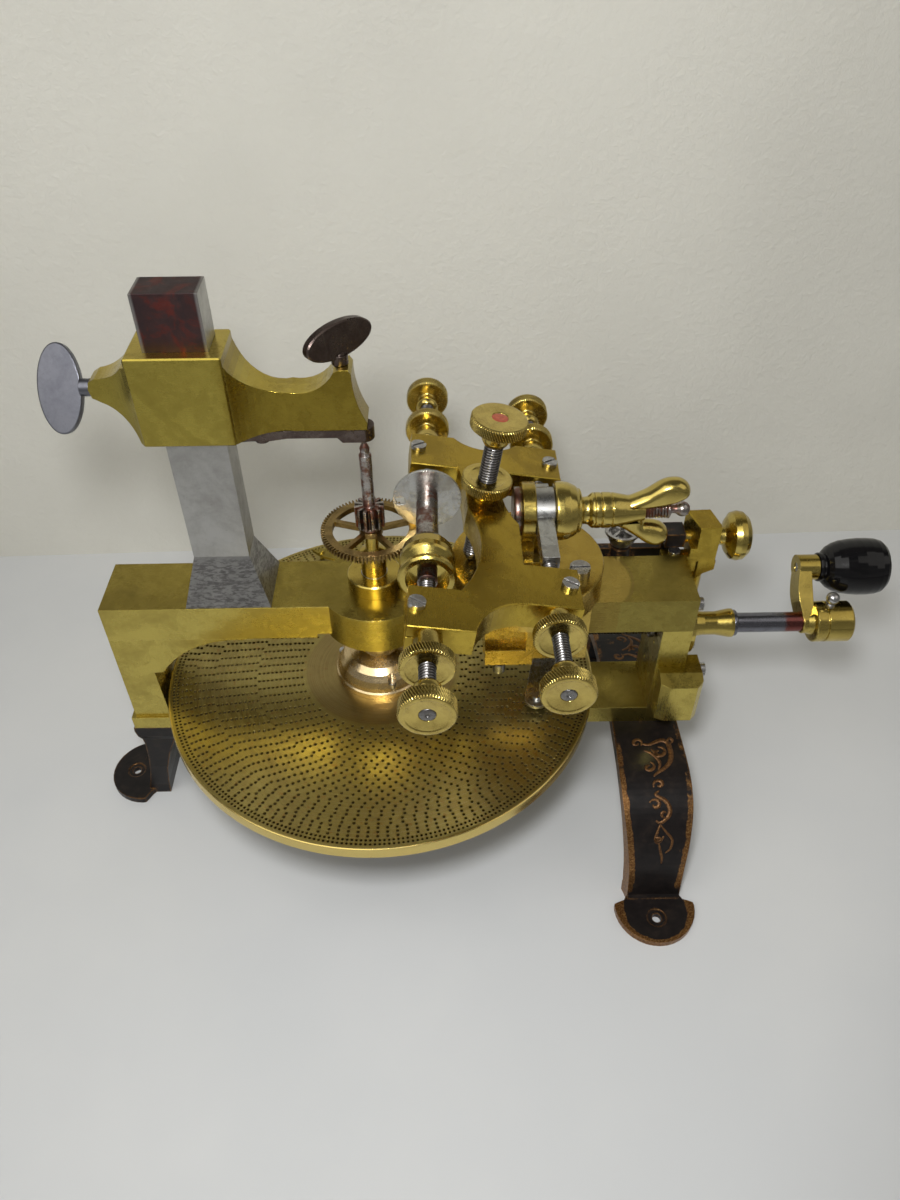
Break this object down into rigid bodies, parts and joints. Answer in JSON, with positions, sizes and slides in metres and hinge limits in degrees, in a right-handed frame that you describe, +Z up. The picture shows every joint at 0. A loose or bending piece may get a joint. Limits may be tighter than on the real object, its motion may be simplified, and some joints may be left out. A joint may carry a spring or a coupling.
{
  "type": "wheel cutting engine",
  "caption": "Bench engine for cutting clock wheel teeth: brass frame on iron feet, dividing plate on a spindle, steadying arm, and a crank-fed saddle with a swinging cutter frame.",
  "frame": {"origin": "on the bench under the centre of the engine's bounding box", "axes": "+X along the top bar towards the crank, +Y to the rear, +Z up"},
  "size_m": [0.4006, 0.228, 0.2836],
  "materials": {
    "bar_brass": "polished, lightly tarnished",
    "frame_brass": "polished, tarnished",
    "plate_brass": "satin, tarnished",
    "rose_bronze": "turned, polished",
    "turned_brass": "turned, polished",
    "wing_brass": "polished",
    "wheel_brass": "polished",
    "cutter_brass": "draw filed and polished",
    "saddle_brass": "polished",
    "knurled_brass": "turned and knurled",
    "post_steel": "ground, stained",
    "bright_steel": "ground",
    "screw_steel": "turned",
    "feed_steel": "turned",
    "stained_steel": "turned, rust stained",
    "blue_steel": "polished, blued",
    "brown_steel": "browned",
    "black_iron": "black japan, worn",
    "ebony": "polished black"
  },
  "bodies": {
    "frame": {"frame_top_bar": "bar_brass", "frame_left_leg": "frame_brass", "frame_lower_bar": "frame_brass", "frame_right_upright": "frame_brass", "upright_clamp_block": "frame_brass", "front_foot": "black_iron", "rear_foot": "black_iron", "left_foot": "black_iron", "arm_post": "post_steel", "spindle_bush": "rose_bronze", "lower_pivot_screw": "screw_steel", "lower_pivot_nut": "turned_brass", "feed_bearing": "turned_brass", "rear_bracket": "cutter_brass", "frame_screws": "screw_steel"},
    "work_spindle": {"spindle": "bright_steel", "dividing_plate": "plate_brass", "plate_hub": "rose_bronze", "hub_screws": "screw_steel", "chuck_sleeve": "turned_brass", "work_arbor": "stained_steel", "sample_wheel": "wheel_brass"},
    "arm": {"steady_arm": "cutter_brass", "runner_strip": "brown_steel", "runner_screw": "brown_steel"},
    "arm_clamp": {"arm_clamp_screw": "blue_steel"},
    "runner_clamp": {"runner_thumbscrew": "brown_steel"},
    "carriage": {"saddle": "saddle_brass", "saddle_screws": "screw_steel", "tilt_pillar": "turned_brass", "tilt_bolt": "stained_steel"},
    "tilt_head": {"crossbar": "bright_steel"},
    "tilt_nut": {"wing_nut": "wing_brass"},
    "swing_frame": {"cutter_frame": "cutter_brass", "clamp_screws": "screw_steel"},
    "cutter": {"cutter_arbor": "stained_steel", "cutter_disc": "bright_steel", "drive_pulley": "turned_brass", "arbor_collar": "turned_brass"},
    "screw_cf": {"cutter_pivot_screw_front": "knurled_brass"},
    "nut_cf": {"cutter_pivot_nut_front": "knurled_brass"},
    "screw_cb": {"cutter_pivot_screw_back": "knurled_brass"},
    "nut_cb": {"cutter_pivot_nut_back": "knurled_brass"},
    "screw_sf": {"swing_pivot_screw_front": "knurled_brass"},
    "nut_sf": {"swing_pivot_nut_front": "knurled_brass"},
    "screw_sb": {"swing_pivot_screw_back": "knurled_brass"},
    "nut_sb": {"swing_pivot_nut_back": "knurled_brass"},
    "stop": {"stop_screw": "knurled_brass"},
    "stop_lock": {"stop_nut": "knurled_brass"},
    "crank": {"feed_screw": "feed_steel", "crank_arm": "turned_brass", "crank_set_screw": "screw_steel", "grip_pin": "screw_steel"},
    "grip": {"crank_grip": "ebony"},
    "knob": {"bracket_knob": "turned_brass"},
    "detent": {"detent_arm": "black_iron", "detent_blade": "bright_steel"},
    "micrometer": {"micrometer_screw": "screw_steel"},
    "index": {"index_arm": "frame_brass"}
  },
  "joints": [
    {"name": "plate_turn", "type": "hinge", "parent": "frame", "child": "work_spindle", "pos_m": [-0.0457, 0.0064, 0.085], "axis": [0, 0, 1], "continuous": true},
    {"name": "arm_height", "type": "slide", "parent": "frame", "child": "arm", "axis": [0, 0, 1], "range_m": [0, 0.022]},
    {"name": "arm_clamp_turn", "type": "hinge", "parent": "arm", "child": "arm_clamp", "pos_m": [-0.1591, 0.0064, 0.2436], "axis": [-1, 0, 0], "range_deg": [0, 270]},
    {"name": "runner_clamp_turn", "type": "hinge", "parent": "arm", "child": "runner_clamp", "pos_m": [-0.0523, 0.0064, 0.2622], "axis": [0, 0, 1], "range_deg": [0, 270]},
    {"name": "saddle_feed", "type": "slide", "parent": "frame", "child": "carriage", "axis": [1, 0, 0], "range_m": [-0.004, 0.015]},
    {"name": "head_tilt", "type": "hinge", "parent": "carriage", "child": "tilt_head", "pos_m": [0.0283, 0.0064, 0.181], "axis": [1, 0, 0], "range_deg": [-15, 15]},
    {"name": "wing_nut_turn", "type": "hinge", "parent": "carriage", "child": "tilt_nut", "pos_m": [0.0543, 0.0064, 0.181], "axis": [1, 0, 0], "range_deg": [0, 270]},
    {"name": "frame_swing", "type": "hinge", "parent": "tilt_head", "child": "swing_frame", "pos_m": [0.0283, 0.0064, 0.181], "axis": [0, 1, 0], "range_deg": [0, 35]},
    {"name": "cutter_turn", "type": "hinge", "parent": "swing_frame", "child": "cutter", "pos_m": [-0.02073, 0.0064, 0.1885], "axis": [0, 1, 0], "continuous": true},
    {"name": "cutter_screw_front_turn", "type": "hinge", "parent": "swing_frame", "child": "screw_cf", "pos_m": [-0.02073, -0.1116, 0.1885], "axis": [0, -1, 0], "range_deg": [0, 270]},
    {"name": "cutter_nut_front_turn", "type": "hinge", "parent": "swing_frame", "child": "nut_cf", "pos_m": [-0.02073, -0.0906, 0.1885], "axis": [0, -1, 0], "range_deg": [0, 270]},
    {"name": "cutter_screw_back_turn", "type": "hinge", "parent": "swing_frame", "child": "screw_cb", "pos_m": [-0.02073, 0.0884, 0.1885], "axis": [0, 1, 0], "range_deg": [0, 270]},
    {"name": "cutter_nut_back_turn", "type": "hinge", "parent": "swing_frame", "child": "nut_cb", "pos_m": [-0.02073, 0.0614, 0.1885], "axis": [0, 1, 0], "range_deg": [0, 270]},
    {"name": "swing_screw_front_turn", "type": "hinge", "parent": "swing_frame", "child": "screw_sf", "pos_m": [0.0283, -0.0966, 0.181], "axis": [0, -1, 0], "range_deg": [0, 270]},
    {"name": "swing_nut_front_turn", "type": "hinge", "parent": "swing_frame", "child": "nut_sf", "pos_m": [0.0283, -0.0696, 0.181], "axis": [0, -1, 0], "range_deg": [0, 270]},
    {"name": "swing_screw_back_turn", "type": "hinge", "parent": "swing_frame", "child": "screw_sb", "pos_m": [0.0283, 0.0854, 0.181], "axis": [0, 1, 0], "range_deg": [0, 270]},
    {"name": "swing_nut_back_turn", "type": "hinge", "parent": "swing_frame", "child": "nut_sb", "pos_m": [0.0283, 0.0584, 0.181], "axis": [0, 1, 0], "range_deg": [0, 270]},
    {"name": "stop_screw_turn", "type": "hinge", "parent": "swing_frame", "child": "stop", "pos_m": [0.00865, 0.0064, 0.22447], "axis": [0.1513, 0, 0.9885], "range_deg": [0, 270]},
    {"name": "stop_nut_turn", "type": "hinge", "parent": "swing_frame", "child": "stop_lock", "pos_m": [0.00441, 0.0064, 0.19679], "axis": [0.1513, 0, 0.9885], "range_deg": [0, 270]},
    {"name": "crank_turn", "type": "hinge", "parent": "frame", "child": "crank", "pos_m": [0.1573, 0.0064, 0.1115], "axis": [1, 0, 0], "range_deg": [-960.5, 3600.5]},
    {"name": "grip_turn", "type": "hinge", "parent": "crank", "child": "grip", "pos_m": [0.1843, 0.02609, 0.12923], "axis": [1, 0, 0], "continuous": true},
    {"name": "knob_turn", "type": "hinge", "parent": "frame", "child": "knob", "pos_m": [0.1243, 0.0314, 0.1455], "axis": [1, 0, 0], "range_deg": [0, 270]},
    {"name": "detent_lift", "type": "hinge", "parent": "frame", "child": "detent", "pos_m": [0.0963, 0.0314, 0.1455], "axis": [1, 0, 0], "range_deg": [-7, 0]},
    {"name": "micrometer_turn", "type": "hinge", "parent": "detent", "child": "micrometer", "pos_m": [0.0723, 0.035, 0.145], "axis": [0, 0, 1], "range_deg": [-180, 180]},
    {"name": "index_swing", "type": "hinge", "parent": "frame", "child": "index", "pos_m": [0.1088, 0.0284, 0.09], "axis": [0, 0, 1], "range_deg": [-10, 2.2]}
  ],
  "couplings": [
    {"joint": "crank_turn", "follows": "saddle_feed", "rad_per_m": 4188.8}
  ]
}
